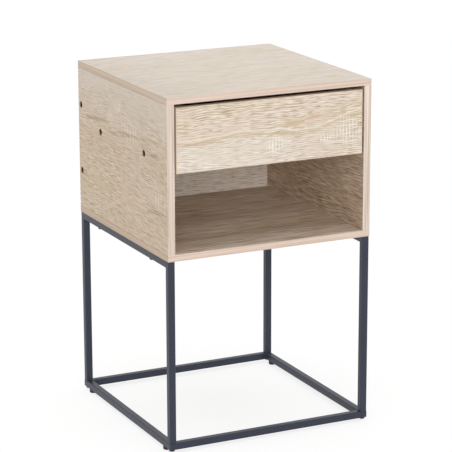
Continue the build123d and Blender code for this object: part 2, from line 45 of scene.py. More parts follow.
def linear(hex_colour):
    """An sRGB hex colour as the linear colour that shaders take."""
    channels = [int(hex_colour[i:i + 2], 16) / 255 for i in (1, 3, 5)]
    return [c / 12.92 if c <= 0.04045 else ((c + 0.055) / 1.055) ** 2.4 for c in channels] + [1.0]


def add(tree, kind, sockets, **settings):
    """Add a shader node.

    A socket takes a value or another node's output, and the settings are the node's own.
    """
    node = tree.nodes.new("ShaderNode" + kind)
    for name, value in settings.items():
        setattr(node, name, value)
    for name, value in sockets.items():
        if isinstance(value, bpy.types.NodeSocket):
            tree.links.new(value, node.inputs[name])
        else:
            node.inputs[name].default_value = value
    return node


def new_material(name):
    """A material with an empty node tree."""
    material = bpy.data.materials.new(name)
    material.use_nodes = True
    material.node_tree.nodes.clear()
    return material, material.node_tree


def dress(material, names):
    """Give each named part of the frame its finish."""
    for name in names:
        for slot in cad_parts[name].material_slots:
            slot.material = material


mm = 0.001
sides = ("left", "right")
ends = ("front", "rear")

peel_grain = 1.6 * mm
peel_depth = 0.1 * mm
coat_mottle = 45 * mm
coat_roughness = (0.3, 0.4)
powder_coat, tree = new_material("charcoal powder coat")
place = add(tree, "TexCoord", {}).outputs["Object"]
mottle = add(tree, "TexNoise", {"Vector": place, "Scale": 1 / coat_mottle, "Detail": 3.0})
peel = add(tree, "TexNoise", {"Vector": place, "Scale": 1 / peel_grain, "Detail": 1.0})
coat_colour = add(tree, "MixRGB", {
    "Fac": mottle.outputs["Fac"], "Color1": linear("#353946"), "Color2": linear("#3D414F")})
coat_gloss = add(tree, "MapRange", {
    "Value": mottle.outputs["Fac"], "To Min": coat_roughness[0], "To Max": coat_roughness[1]})
coat_bump = add(tree, "Bump", {
    "Height": peel.outputs["Fac"], "Strength": 0.25, "Distance": peel_depth})
coat = add(tree, "BsdfPrincipled", {
    "Base Color": coat_colour.outputs["Color"], "Roughness": coat_gloss.outputs["Result"],
    "Specular IOR Level": 0.25, "Normal": coat_bump.outputs["Normal"]})
add(tree, "OutputMaterial", {"Surface": coat.outputs["BSDF"]})

legs = [f"{side}_{end}_leg" for side in sides for end in ends]
top_rails = [f"{side}_top_rail" for side in sides]
ring_rails = [f"ring_{name}_rail" for name in sides + ends]
dress(powder_coat, legs + top_rails + ring_rails)


# Weld beads: each mitre is run with a short bead in its inner corner, where grinding can't reach.
# The ripples of the cooling puddle stay under the coat. Outside, the seams are ground flush.

bead_radius = 1.5 * mm
bead_ripple = 1.1 * mm
bead_facets = 12
ripple_waist = 0.8
tube_corner = 1.6 * mm


def weld_bead(name, middle, along, length):
    """A rippled bead with closed ends.

    It is a circle extruded along the corner and drawn in between the ripples.
    """
    bpy.ops.object.select_all(action="DESELECT")
    axis = Vector(along)
    start = Vector(middle) - axis * length / 2
    turn = axis.to_track_quat("Z", "Y").to_euler()
    bpy.ops.mesh.primitive_circle_add(
        vertices=bead_facets, radius=bead_radius * ripple_waist, fill_type="NGON",
        location=start, rotation=turn)
    bead = bpy.context.object
    bead.name = name
    bpy.ops.object.transform_apply(location=True, rotation=True, scale=True)
    bpy.ops.object.mode_set(mode="EDIT")
    bpy.ops.mesh.select_all(action="SELECT")
    steps = 2 * round(length / bead_ripple)
    for step in range(steps):
        swell = 1 / ripple_waist if step % 2 == 0 else ripple_waist
        bpy.ops.mesh.extrude_region_move(TRANSFORM_OT_translate={"value": axis * length / steps})
        reached = start + axis * length * (step + 1) / steps
        bpy.ops.transform.resize(value=(swell, swell, swell), center_override=reached)
    bpy.ops.mesh.select_all(action="SELECT")
    bpy.ops.mesh.normals_make_consistent(inside=False)
    bpy.ops.object.mode_set(mode="OBJECT")
    smooth = bead.modifiers.new("soft ripples", "SUBSURF")
    smooth.levels = 2
    smooth.render_levels = 2
    bpy.ops.object.modifier_apply(modifier=smooth.name)
    bpy.ops.object.shade_smooth()
    bead.data.materials.append(powder_coat)
    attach(bead, "cabinet")


for side in sides:
    rail_low, rail_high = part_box(f"{side}_top_rail")
    ring_low, ring_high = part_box(f"ring_{side}_rail")
    rail_x = (rail_low.x + rail_high.x) / 2
    ring_inner_x = ring_high.x if side == "left" else ring_low.x
    ring_middle_z = (ring_low.z + ring_high.z) / 2
    run = rail_high.z - rail_low.z - 2 * tube_corner
    for end in ends:
        leg_low, leg_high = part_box(f"{side}_{end}_leg")
        leg_inner_y = leg_high.y if end == "front" else leg_low.y
        under_rail = (rail_x, leg_inner_y, rail_low.z)
        in_ring = (ring_inner_x, leg_inner_y, ring_middle_z)
        weld_bead(f"hoop_weld_{side}_{end}", under_rail, (1, 0, 0), run)
        weld_bead(f"ring_weld_{side}_{end}", in_ring, (0, 0, 1), run)


# Feet: moulded black polypropylene glides, pressed into holes under the ring with a short stem.
# The mould is spark eroded, which leaves a fine matt grain. It is drawn coarser than real, to show.

mould_grain = 0.7 * mm
mould_depth = 0.05 * mm
black_plastic, tree = new_material("black polypropylene")
place = add(tree, "TexCoord", {}).outputs["Object"]
grain = add(tree, "TexNoise", {"Vector": place, "Scale": 1 / mould_grain, "Detail": 2.0})
plastic_colour = add(tree, "MixRGB", {
    "Fac": grain.outputs["Fac"], "Color1": linear("#141416"), "Color2": linear("#202023")})
plastic_bump = add(tree, "Bump", {
    "Height": grain.outputs["Fac"], "Strength": 0.3, "Distance": mould_depth})
plastic = add(tree, "BsdfPrincipled", {
    "Base Color": plastic_colour.outputs["Color"], "Roughness": 0.5,
    "Normal": plastic_bump.outputs["Normal"]})
add(tree, "OutputMaterial", {"Surface": plastic.outputs["BSDF"]})
dress(black_plastic, [f"{side}_{end}_foot" for side in sides for end in ends])


# Frame bolts: socket head machine bolts that hold the hoops on the ring and the box on the hoops.
# Blackened in a hot oxide bath and oiled, so they are near black with a dull metal sheen.

oxide_bloom = 3 * mm
oxide_roughness = (0.3, 0.5)
black_oxide, tree = new_material("black oxide steel")
place = add(tree, "TexCoord", {}).outputs["Object"]
bloom = add(tree, "TexNoise", {"Vector": place, "Scale": 1 / oxide_bloom, "Detail": 3.0})
oxide_colour = add(tree, "MixRGB", {
    "Fac": bloom.outputs["Fac"], "Color1": linear("#1C1C1F"), "Color2": linear("#34343A")})
oxide_gloss = add(tree, "MapRange", {
    "Value": bloom.outputs["Fac"], "To Min": oxide_roughness[0], "To Max": oxide_roughness[1]})
oxide = add(tree, "BsdfPrincipled", {
    "Base Color": oxide_colour.outputs["Color"], "Metallic": 0.7,
    "Roughness": oxide_gloss.outputs["Result"]})
add(tree, "OutputMaterial", {"Surface": oxide.outputs["BSDF"]})
dress(black_oxide, ["leg_bolts", "cabinet_bolts"])


# Nut plugs in the leg ends and threaded inserts in the bottom board take the frame bolts.
# Turned steel, zinc plated and clear passivated: bright grey with a faint blue and yellow cast.

plating_cast = 6 * mm
tool_marks = 0.25 * mm
zinc_roughness = (0.28, 0.46)
zinc_steel, tree = new_material("zinc plated steel")
place = add(tree, "TexCoord", {}).outputs["Object"]
cast = add(tree, "TexNoise", {"Vector": place, "Scale": 1 / plating_cast, "Detail": 2.0})
marks = add(tree, "TexNoise", {"Vector": place, "Scale": 1 / tool_marks, "Detail": 1.0})
zinc_colour = add(tree, "MixRGB", {
    "Fac": cast.outputs["Fac"], "Color1": linear("#B4BAC2"), "Color2": linear("#C6C2B2")})
zinc_gloss = add(tree, "MapRange", {
    "Value": marks.outputs["Fac"], "To Min": zinc_roughness[0], "To Max": zinc_roughness[1]})
zinc = add(tree, "BsdfPrincipled", {
    "Base Color": zinc_colour.outputs["Color"], "Metallic": 1.0,
    "Roughness": zinc_gloss.outputs["Result"]})
add(tree, "OutputMaterial", {"Surface": zinc.outputs["BSDF"]})
dress(zinc_steel, ["leg_nut_plugs", "cabinet_bolt_inserts"])


# Box boards: particleboard with an oak print foil pressed on both faces, sawn and drilled afterwards.
# The print has pale cream and beige figure, short rippled pores along the grain and, in patches, the
# whitish cross marks of a frame saw. Cut edges and drilled holes show the brown chips.

# Pattern sizes are in millimetres along the grain and across it.
zone_size = (190.0, 46.0)
streak_size = (260.0, 11.0)
band_size = (420.0, 9.0)
heart_size = (520.0, 48.0)
haze_size = (55.0, 5.0)
calm_size = (80.0, 24.0)
wander_size = (150.0, 60.0)
wander_reach = 18.0
ripple_size = (36.0, 50.0)
saw_fade = (9.0, 14.0)

# These are about four times as wide as on the real foil, so that they show at this image size.
fibre_size = (18.0, 1.5)
line_size = (22.0, 3.8)
pore_size = (14.0, 1.6)
fleck_size = (22.0, 2.2)
pale_line_size = (30.0, 2.4)

# How strongly each kind of mark is printed, as a share of its ink.
fibre_ink = 0.95
calm_ink = 0.4
pore_ink = 0.45
line_weight = 0.4
# The painted shadow line at the joints is not printed; this is its share of its ink.
joint_shade_ink = 0.62

pore_depth = 0.08 * mm
# Half width of the painted shadow line at the joints, in millimetres.
joint_shade_width = 0.9
chip_size = 1.8 * mm
patch_core = 0.15
cross_spacing = 1.2
cross_share = 0.4
# At this scale a wave texture has one band in each unit of length.
wave_period = 2 * math.pi / 20
# The size of every pattern through the board, in millimetres.
through_size = 10.0

left_right, front_back, up_down = (1, 0, 0), (0, 1, 0), (0, 0, 1)
side_low, side_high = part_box("left_side_panel")
side_cuts = (side_low.z / mm, side_high.z / mm)
right_middle = sum(corner.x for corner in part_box("right_side_panel")) / 2 / mm
back_middle = sum(corner.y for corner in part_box("back_panel")) / 2 / mm


def stretched(tree, vector, size):
    """A place in millimetres counted in pattern sizes along and across the grain."""
    scale = (1 / size[0], 1 / size[1], 1 / through_size)
    return add(tree, "VectorMath", {0: vector, 1: scale}, operation="MULTIPLY").outputs[0]


def print_over(tree, colour, share, ink):
    """Lay an ink over the colour so far, by its share."""
    return add(tree, "MixRGB", {"Fac": share, "Color1": colour, "Color2": ink}).outputs[0]


def ellipse(tree, flat, middle, half, core, slope=0.0):
    """1 in the core of an ellipse on the board's face, falling to 0 at its rim.

    The ellipse may lie on a slope.
    """
    away = add(tree, "VectorMath", {0: flat, 1: (*middle, 0)}, operation="SUBTRACT").outputs[0]
    shares = [
        add(tree, "VectorMath", {0: away, 1: axis}, operation="DOT_PRODUCT").outputs["Value"]
        for axis in ((1 / half[0], 0, 0), (-slope / half[1], 1 / half[1], 0))]
    apart = add(tree, "CombineXYZ", {"X": shares[0], "Y": shares[1]})
    reach = add(tree, "VectorMath", {0: apart.outputs[0]}, operation="LENGTH")
    rim = add(tree, "MapRange", {
        "Value": reach.outputs["Value"], "From Min": 1.0, "From Max": core},
        interpolation_type="SMOOTHSTEP")
    return rim.outputs[0]


def above_streak(tree, flat, level, sway, climb):
    """How far a place lies above a heart streak that sways along the board and climbs at one end.

    The sway is its wave length, the place of a trough and its reach. The climb is where it starts,
    where it ends and its height.
    """
    length, trough, reach = sway
    start, stop, height = climb
    parts = add(tree, "SeparateXYZ", {"Vector": flat})
    turn = 2 * math.pi / length
    phase = add(tree, "Math", {
        0: parts.outputs["X"], 1: turn, 2: -math.pi / 2 - turn * trough}, operation="MULTIPLY_ADD")
    wave = add(tree, "Math", {0: phase.outputs[0]}, operation="SINE")
    rise = add(tree, "MapRange", {
        "Value": parts.outputs["X"], "From Min": start, "From Max": stop, "To Min": level,
        "To Max": level + height}, interpolation_type="SMOOTHSTEP")
    line = add(tree, "Math", {
        0: wave.outputs[0], 1: reach, 2: rise.outputs[0]}, operation="MULTIPLY_ADD")
    over = add(tree, "Math", {0: parts.outputs["Y"], 1: line.outputs[0]}, operation="SUBTRACT")
    return over.outputs[0]


def band_share(tree, offset, half, share):
    """The share of a band's ink: full in its middle, none past its half width."""
    distance = add(tree, "Math", {0: offset}, operation="ABSOLUTE")
    return add(tree, "MapRange", {
        "Value": distance.outputs[0], "From Min": half, "From Max": half / 3,
        "To Max": share}).outputs[0]


def faded(tree, flat, size, share):
    """A share that comes and goes along the grain."""
    haze = add(tree, "TexNoise", {
        "Vector": stretched(tree, flat, size), "Scale": 1.0, "Detail": 1.0})
    level = add(tree, "MapRange", {
        "Value": haze.outputs["Fac"], "From Min": 0.38, "From Max": 0.6})
    return add(tree, "Math", {0: share, 1: level.outputs[0]}, operation="MULTIPLY").outputs[0]


def no_accents(tree, flat, colour):
    """A board whose print is left as it is."""
    return colour


def oak_foil(name, along, across, through, cut_from, arch=(0.0, 0.0), accents=no_accents,
             saw_patches=(), saw_spacing=6.4, saw_share=0.9, wrapped=False, shaded_joints=(),
             cast="#FFFFFF", strength=1.0, ripple=7.0, long=1.0, coarse=1.0, roughness=0.5,
             specular=0.12):
    """Oak print foil on chipboard, in millimetres along the grain, across it and through the board.

    Each board is cut from its own place on the printed sheet, and the cast and the strength are those
    of that sheet. The arch is the place along the grain of a cathedral's top and its curvature, and
    the ripple is how far the fine lines sway. The accents are the board's own figure, with painted
    shade on the inner face of the right side and on the top, and painted light on the inner face of
    the back. A saw patch is its middle and its half size, along and across, and its strokes have a
    spacing and a share of chalky white. A wrapped board has foil on its edges too. A shaded joint is
    the height of a sawn edge where another board meets it, and there a fine chip-brown line of painted
    shadow is laid on the outer face. The marks of a long or coarse board, seen at a low angle, are
    drawn larger again than those of the others.
    """
    material, tree = new_material(name)

    def ink(hex_colour):
        return [channel * tint for channel, tint in zip(linear(hex_colour), linear(cast))]

    def coarser(size):
        return (size[0] * long, size[1] * coarse)

    place = add(tree, "TexCoord", {})
    axes = [
        add(tree, "VectorMath", {
            0: place.outputs["Object"], 1: Vector(axis) / mm}, operation="DOT_PRODUCT")
        for axis in (along, across, through)]
    u, v, w = [axis.outputs["Value"] for axis in axes]
    flat = add(tree, "CombineXYZ", {"X": u, "Y": v, "Z": w}).outputs[0]
    from_top = add(tree, "Math", {0: u, 1: arch[0]}, operation="SUBTRACT")
    squared = add(tree, "Math", {0: from_top.outputs[0], 1: 2.0}, operation="POWER")
    arched = add(tree, "Math", {
        0: squared.outputs[0], 1: arch[1], 2: v}, operation="MULTIPLY_ADD")
    bowed = add(tree, "CombineXYZ", {"X": u, "Y": arched.outputs[0], "Z": w})
    grain = add(tree, "VectorMath", {0: bowed.outputs[0], 1: cut_from}, operation="ADD").outputs[0]
    for size, reach in ((wander_size, wander_reach), (coarser(ripple_size), ripple)):
        sway = add(tree, "TexNoise", {
            "Vector": stretched(tree, grain, size), "Scale": 1.0, "Detail": 1.0})
        grain = add(tree, "VectorMath", {
            0: sway.outputs["Color"], 1: (0, reach, 0), 2: grain}, operation="MULTIPLY_ADD").outputs[0]

    zones = add(tree, "TexNoise", {
        "Vector": stretched(tree, grain, zone_size), "Scale": 1.0, "Detail": 1.0})
    golden = add(tree, "MapRange", {
        "Value": zones.outputs["Fac"], "From Min": 0.36, "From Max": 0.64})
    colour = print_over(tree, ink("#E5D4C4"), golden.outputs[0], ink("#DFCFB6"))
    streaks = add(tree, "TexNoise", {
        "Vector": stretched(tree, grain, streak_size), "Scale": 1.0, "Detail": 2.0})
    pale = add(tree, "MapRange", {
        "Value": streaks.outputs["Fac"], "From Min": 0.42, "From Max": 0.66, "To Max": 0.24})
    colour = print_over(tree, colour, pale.outputs[0], ink("#EEE4D6"))
    bands = add(tree, "TexNoise", {
        "Vector": stretched(tree, grain, band_size), "Scale": 1.0, "Detail": 1.0})
    gold = add(tree, "MapRange", {
        "Value": bands.outputs["Fac"], "From Min": 0.56, "From Max": 0.72, "To Max": 0.2})
    colour = print_over(tree, colour, gold.outputs[0], ink("#CBB48E"))

    broken = add(tree, "TexNoise", {
        "Vector": stretched(tree, grain, coarser(fibre_size)), "Scale": 1.0, "Detail": 0.5})
    lines = add(tree, "TexWave", {
        "Vector": stretched(tree, grain, coarser(line_size)), "Scale": wave_period,
        "Distortion": 5.0, "Detail": 1.0, "Detail Scale": 3.0}, bands_direction="Y")
    fibres = add(tree, "Math", {
        0: lines.outputs["Fac"], 1: line_weight, 2: broken.outputs["Fac"]},
        operation="MULTIPLY_ADD").outputs[0]
    fibre_share = min(1.0, fibre_ink * strength)
    calm = add(tree, "TexNoise", {
        "Vector": stretched(tree, grain, calm_size), "Scale": 1.0, "Detail": 1.0})
    busy = add(tree, "MapRange", {
        "Value": calm.outputs["Fac"], "From Min": 0.36, "From Max": 0.62,
        "To Min": calm_ink * fibre_share, "To Max": fibre_share})
    light_fibre = add(tree, "MapRange", {
        "Value": fibres, "From Min": 0.7, "From Max": 1.0, "To Max": busy.outputs[0]})
    colour = print_over(tree, colour, light_fibre.outputs[0], ink("#F5EDE1"))
    dark_fibre = add(tree, "MapRange", {
        "Value": fibres, "From Min": 0.7, "From Max": 0.4, "To Max": busy.outputs[0]})
    colour = print_over(tree, colour, dark_fibre.outputs[0], ink("#BDA486"))
    pores = add(tree, "TexNoise", {
        "Vector": stretched(tree, grain, coarser(pore_size)), "Scale": 1.0, "Detail": 0.0})
    pore = add(tree, "MapRange", {
        "Value": pores.outputs["Fac"], "From Min": 0.6, "From Max": 0.74,
        "To Max": min(1.0, pore_ink * strength)})
    colour = print_over(tree, colour, pore.outputs[0], ink("#9E8467"))
    colour = accents(tree, flat, colour)

    if saw_patches:
        sawn = 0.0
        both_ways = (
            ("X", saw_spacing, saw_share),
            ("Y", cross_spacing * saw_spacing, cross_share * saw_share))
        for direction, spacing, share in both_ways:
            strokes = add(tree, "TexWave", {
                "Vector": flat, "Scale": wave_period / spacing, "Distortion": 1.8, "Detail": 1.0,
                "Detail Scale": 1.5}, bands_direction=direction)
            stroke = add(tree, "MapRange", {
                "Value": strokes.outputs["Fac"], "From Min": 0.55, "From Max": 1.0, "To Max": share})
            sawn = add(tree, "Math", {0: stroke.outputs[0], 1: sawn}, operation="MAXIMUM").outputs[0]
        uneven = add(tree, "TexNoise", {
            "Vector": stretched(tree, flat, saw_fade), "Scale": 1.0, "Detail": 1.0})
        kept = add(tree, "MapRange", {
            "Value": uneven.outputs["Fac"], "From Min": 0.36, "From Max": 0.56, "To Min": 0.3})
        sawn = add(tree, "Math", {0: sawn, 1: kept.outputs[0]}, operation="MULTIPLY").outputs[0]
    for middle_u, middle_v, half_u, half_v in saw_patches:
        patch = ellipse(tree, flat, (middle_u, middle_v), (half_u, half_v), core=patch_core)
        chalk = add(tree, "Math", {0: sawn, 1: patch}, operation="MULTIPLY")
        colour = print_over(tree, colour, chalk.outputs[0], ink("#FBF7F0"))

    # Painted shadow: a fine chip-brown line along each joint edge, on the outer face only.
    if shaded_joints:
        beside = add(tree, "Math", {0: w}, operation="ABSOLUTE").outputs[0]
        outside = add(tree, "Math", {0: beside, 1: right_middle}, operation="GREATER_THAN").outputs[0]
    for height in shaded_joints:
        from_edge = add(tree, "Math", {0: v, 1: height}, operation="SUBTRACT").outputs[0]
        line = band_share(tree, from_edge, joint_shade_width, share=joint_shade_ink)
        shown = add(tree, "Math", {0: line, 1: outside}, operation="MULTIPLY")
        colour = print_over(tree, colour, shown.outputs[0], ink("#6E553C"))

    if not wrapped:
        chips = add(tree, "TexVoronoi", {"Vector": place.outputs["Object"], "Scale": 1 / chip_size})
        chip_tone = add(tree, "SeparateColor", {"Color": chips.outputs["Color"]})
        core = print_over(tree, linear("#8A6A48"), chip_tone.outputs[0], linear("#C2A279"))
        facing = add(tree, "VectorMath", {
            0: place.outputs["Normal"], 1: through}, operation="DOT_PRODUCT")
        either = add(tree, "Math", {0: facing.outputs["Value"]}, operation="ABSOLUTE")
        on_face = add(tree, "Math", {0: either.outputs[0], 1: 0.5}, operation="GREATER_THAN")
        colour = print_over(tree, core, on_face.outputs[0], colour)

    relief = add(tree, "Bump", {
        "Height": pore.outputs[0], "Strength": 0.2, "Distance": pore_depth}, invert=True)
    foil = add(tree, "BsdfPrincipled", {
        "Base Color": colour, "Roughness": roughness, "Specular IOR Level": specular,
        "Normal": relief.outputs["Normal"]})
    add(tree, "OutputMaterial", {"Surface": foil.outputs["BSDF"]})
    return material


def bottom_figure(tree, flat, colour):
    """Long straight streaks of darker heartwood on the bottom board."""
    hearts = add(tree, "TexNoise", {
        "Vector": stretched(tree, flat, heart_size), "Scale": 1.0, "Detail": 2.0})
    heart = add(tree, "MapRange", {
        "Value": hearts.outputs["Fac"], "From Min": 0.46, "From Max": 0.62, "To Max": 0.4})
    return print_over(tree, colour, heart.outputs[0], linear("#AE9684"))


# The left side pales from here up. Each of its streaks is its middle, its half size and its slope.
left_pale_from = 520.0
left_streaks = (
    ((10.0, 541.0), (70.0, 7.0), -0.1),
    ((-75.0, 550.0), (125.0, 5.0), -0.08),
    ((120.0, 548.0), (80.0, 7.0), -0.1),
    ((-140.0, 531.0), (38.0, 6.0), -0.04),
    ((-155.0, 432.0), (50.0, 6.0), -0.07))


def left_figure(tree, flat, colour):
    """The left side pales towards its top, and darker heart streaks cross it."""
    height = add(tree, "SeparateXYZ", {"Vector": flat}).outputs["Y"]
    upper = add(tree, "MapRange", {
        "Value": height, "From Min": left_pale_from, "From Max": side_cuts[1], "To Max": 0.5})
    colour = print_over(tree, colour, upper.outputs[0], linear("#F0E8DE"))
    for middle, half, slope in left_streaks:
        streak = ellipse(tree, flat, middle, half, core=0.2, slope=slope)
        heart = faded(tree, flat, haze_size, streak)
        colour = print_over(tree, colour, heart, linear("#B0977B"))
    return colour


def inner_face(tree, flat, middle):
    """1 on the face of a right or back board that looks into the box, and 0 on its outer face."""
    through = add(tree, "SeparateXYZ", {"Vector": flat}).outputs["Z"]
    return add(tree, "Math", {0: through, 1: middle}, operation="LESS_THAN").outputs[0]


def right_inner_shade(tree, flat, colour):
    """Painted shade on the inner face of the right side: it is darkened, unevenly in long flecks."""
    flecks = add(tree, "TexNoise", {
        "Vector": stretched(tree, flat, fleck_size), "Scale": 1.0, "Detail": 1.0})
    tone = add(tree, "MapRange", {
        "Value": flecks.outputs["Fac"], "From Min": 0.36, "From Max": 0.64})
    shade = print_over(tree, linear("#D0C9C7"), tone.outputs[0], linear("#F4F1F0"))
    # Painted shade: the face inside the box is multiplied darker, by more or less in flecks.
    return add(tree, "MixRGB", {
        "Fac": inner_face(tree, flat, right_middle), "Color1": colour, "Color2": shade},
        blend_type="MULTIPLY").outputs[0]


def back_inner_light(tree, flat, colour):
    """Painted light on the inner face of the back: it is paler, in lines along the grain."""
    lines = add(tree, "TexNoise", {
        "Vector": stretched(tree, flat, pale_line_size), "Scale": 1.0, "Detail": 1.0})
    pale = add(tree, "MapRange", {
        "Value": lines.outputs["Fac"], "From Min": 0.38, "From Max": 0.62, "To Min": 0.12,
        "To Max": 0.8})
    inside = inner_face(tree, flat, back_middle)
    share = add(tree, "Math", {0: inside, 1: pale.outputs[0]}, operation="MULTIPLY")
    # Painted light: pale ink laid over the face inside the box only.
    return print_over(tree, colour, share.outputs[0], linear("#F5F0EB"))


# Where along the top the painted shade starts and where it is full.
top_shade = (-60.0, -190.0)


def top_left_shade(tree, flat, colour):
    """Painted shade: the top is a shade darker towards its left end."""
    along = add(tree, "SeparateXYZ", {"Vector": flat}).outputs["X"]
    left = add(tree, "MapRange", {
        "Value": along, "From Min": top_shade[0], "From Max": top_shade[1], "To Max": 1.0})
    return add(tree, "MixRGB", {
        "Fac": left.outputs[0], "Color1": colour, "Color2": linear("#F4F3F1")},
        blend_type="MULTIPLY").outputs[0]


left_saw_patches = (
    (-40.0, 551.0, 56.0, 32.0),
    (47.0, 563.0, 18.0, 18.0),
    (14.0, 589.0, 38.0, 14.0),
    (-162.0, 461.0, 46.0, 30.0),
    (-185.0, 574.0, 20.0, 20.0))
right_saw_patches = ((40.0, 500.0, 50.0, 34.0),)

bottom_foil = oak_foil(
    "oak foil on the bottom board", left_right, front_back, up_down, cut_from=(700.0, 40.0, 0.0),
    accents=bottom_figure, cast="#FBFAFA", strength=1.35, ripple=3.0, long=3.0, coarse=2.2)
dress(bottom_foil, ["bottom_panel"])
left_foil = oak_foil(
    "oak foil on the left side", front_back, up_down, left_right, cut_from=(0.0, 0.0, 0.0),
    arch=(40.0, 0.00022), accents=left_figure, saw_patches=left_saw_patches, saw_spacing=12.0,
    saw_share=0.75, shaded_joints=side_cuts, cast="#FEF9F2", strength=0.95, long=1.5)
dress(left_foil, ["left_side_panel"])
right_foil = oak_foil(
    "oak foil on the right side", front_back, up_down, left_right, cut_from=(250.0, 90.0, 0.0),
    arch=(-40.0, -0.0002), accents=right_inner_shade, saw_patches=right_saw_patches, saw_spacing=8.5,
    saw_share=0.6, shaded_joints=side_cuts, cast="#FEF9F2", strength=1.1, ripple=3.0, long=1.7)
dress(right_foil, ["right_side_panel"])
back_foil = oak_foil(
    "oak foil on the back", left_right, up_down, front_back, cut_from=(90.0, 300.0, 0.0),
    accents=back_inner_light, strength=1.5)
dress(back_foil, ["back_panel"])
deck_foil = oak_foil(
    "oak foil on the deck", left_right, front_back, up_down, cut_from=(300.0, 500.0, 0.0))
dress(deck_foil, ["drawer_deck"])
top_foil = oak_foil(
    "oak foil on the top", left_right, front_back, up_down, cut_from=(1200.0, 150.0, 0.0),
    accents=top_left_shade, strength=0.75, ripple=4.0, long=1.8, coarse=1.2, roughness=0.3, specular=0.4)
dress(top_foil, ["top_panel"])


# Edge strips: 1 mm printed strips, ironed on the sawn edges with hot glue and trimmed to a small round.
# Their print is a plain straight grain, lighter and pinker than the foil. Its parallel lines are
# drawn wider than real, so that they show.

strip_line = 2.7
strip_run = 260.0


def edge_strip(name, along, across, dark, pale, side_shade="#FFFFFF"):
    """Printed edge strip with straight lines, in millimetres along the strip and across it.

    The strips on the left and right edges are painted a shade darker and yellower by the side shade.
    """
    material, tree = new_material(name)
    place = add(tree, "TexCoord", {})
    u, v = [
        add(tree, "VectorMath", {
            0: place.outputs["Object"], 1: Vector(axis) / mm}, operation="DOT_PRODUCT")
        for axis in (along, across)]
    line_u = add(tree, "Math", {0: u.outputs["Value"], 1: strip_run}, operation="DIVIDE")
    line_v = add(tree, "Math", {0: v.outputs["Value"], 1: strip_line}, operation="DIVIDE")
    line_at = add(tree, "CombineXYZ", {"X": line_u.outputs[0], "Y": line_v.outputs[0]})
    lines = add(tree, "TexNoise", {"Vector": line_at.outputs[0], "Scale": 1.0, "Detail": 2.0})
    line = add(tree, "MapRange", {
        "Value": lines.outputs["Fac"], "From Min": 0.35, "From Max": 0.65})
    colour = print_over(tree, linear(dark), line.outputs[0], linear(pale))
    # Painted shade: strips facing left or right are multiplied by the colour given for the sides.
    facing = add(tree, "VectorMath", {
        0: place.outputs["Normal"], 1: left_right}, operation="DOT_PRODUCT")
    sideways = add(tree, "Math", {0: facing.outputs["Value"]}, operation="ABSOLUTE")
    cast = add(tree, "MixRGB", {
        "Fac": sideways.outputs[0], "Color1": colour, "Color2": linear(side_shade)},
        blend_type="MULTIPLY")
    strip = add(tree, "BsdfPrincipled", {
        "Base Color": cast.outputs[0], "Roughness": 0.42, "Specular IOR Level": 0.2})
    add(tree, "OutputMaterial", {"Surface": strip.outputs["BSDF"]})
    return material


round_the_top = (1, 1, 0)
level_inks = ("#D6BEAC", "#EBD7C8")
# The strips facing left or right get painted shade, deeper on the bottom board.
top_strip = edge_strip(
    "oak strip on the top", round_the_top, up_down, *level_inks, side_shade="#F9F8EF")
dress(top_strip, ["top_edge_bands", "deck_edge_band"])
bottom_strip = edge_strip(
    "oak strip on the bottom board", round_the_top, up_down, *level_inks, side_shade="#EFEDE1")
dress(bottom_strip, ["bottom_edge_bands"])
side_strip = edge_strip("oak strip on side boards", up_down, left_right, "#CDB7A5", "#F2E5D9")
dress(side_strip, ["side_edge_bands"])


# Box screws: sunk socket screws that hold the deck and the back from outside, left without caps.
# They are phosphated, which leaves a dull black crystal skin, drawn coarser than real so that it
# shows. The bottom screws are hidden above the hoop rails.

phosphate_crystals = 0.6 * mm
crystal_depth = 0.03 * mm
black_phosphate, tree = new_material("black phosphated steel")
place = add(tree, "TexCoord", {}).outputs["Object"]
crystals = add(tree, "TexNoise", {"Vector": place, "Scale": 1 / phosphate_crystals, "Detail": 2.0})
phosphate_colour = add(tree, "MixRGB", {
    "Fac": crystals.outputs["Fac"], "Color1": linear("#100F0E"), "Color2": linear("#1E1B19")})
phosphate_bump = add(tree, "Bump", {
    "Height": crystals.outputs["Fac"], "Strength": 0.2, "Distance": crystal_depth})
phosphate = add(tree, "BsdfPrincipled", {
    "Base Color": phosphate_colour.outputs[0], "Metallic": 0.2, "Roughness": 0.7,
    "Specular IOR Level": 0.2, "Normal": phosphate_bump.outputs["Normal"]})
add(tree, "OutputMaterial", {"Surface": phosphate.outputs["BSDF"]})
dress(black_phosphate, ["deck_screws", "back_panel_screws"])
dress(zinc_steel, ["bottom_panel_screws"])


# Top fittings: zinc cams and cam bolts that draw the top down from inside, and grooved beech dowels.
# Bare beech is pinkish tan with short darker flecks.

fleck_length = 3.0 * mm
beech, tree = new_material("bare beech")
place = add(tree, "TexCoord", {}).outputs["Object"]
flecks = add(tree, "TexNoise", {"Vector": place, "Scale": 1 / fleck_length, "Detail": 3.0})
beech_colour = add(tree, "MixRGB", {
    "Fac": flecks.outputs["Fac"], "Color1": linear("#C79C6C"), "Color2": linear("#E2C296")})
beech_shader = add(tree, "BsdfPrincipled", {
    "Base Color": beech_colour.outputs[0], "Roughness": 0.6})
add(tree, "OutputMaterial", {"Surface": beech_shader.outputs["BSDF"]})
dress(beech, ["cabinet_dowels", "drawer_dowels"])
dress(zinc_steel, ["cabinet_cams", "cabinet_cam_bolts", "drawer_cams", "drawer_cam_bolts"])


# Runners: roll formed steel channel with a white epoxy coat, screwed to the box and under the drawer.
# The coat is baked, glossier and smoother than the frame's.

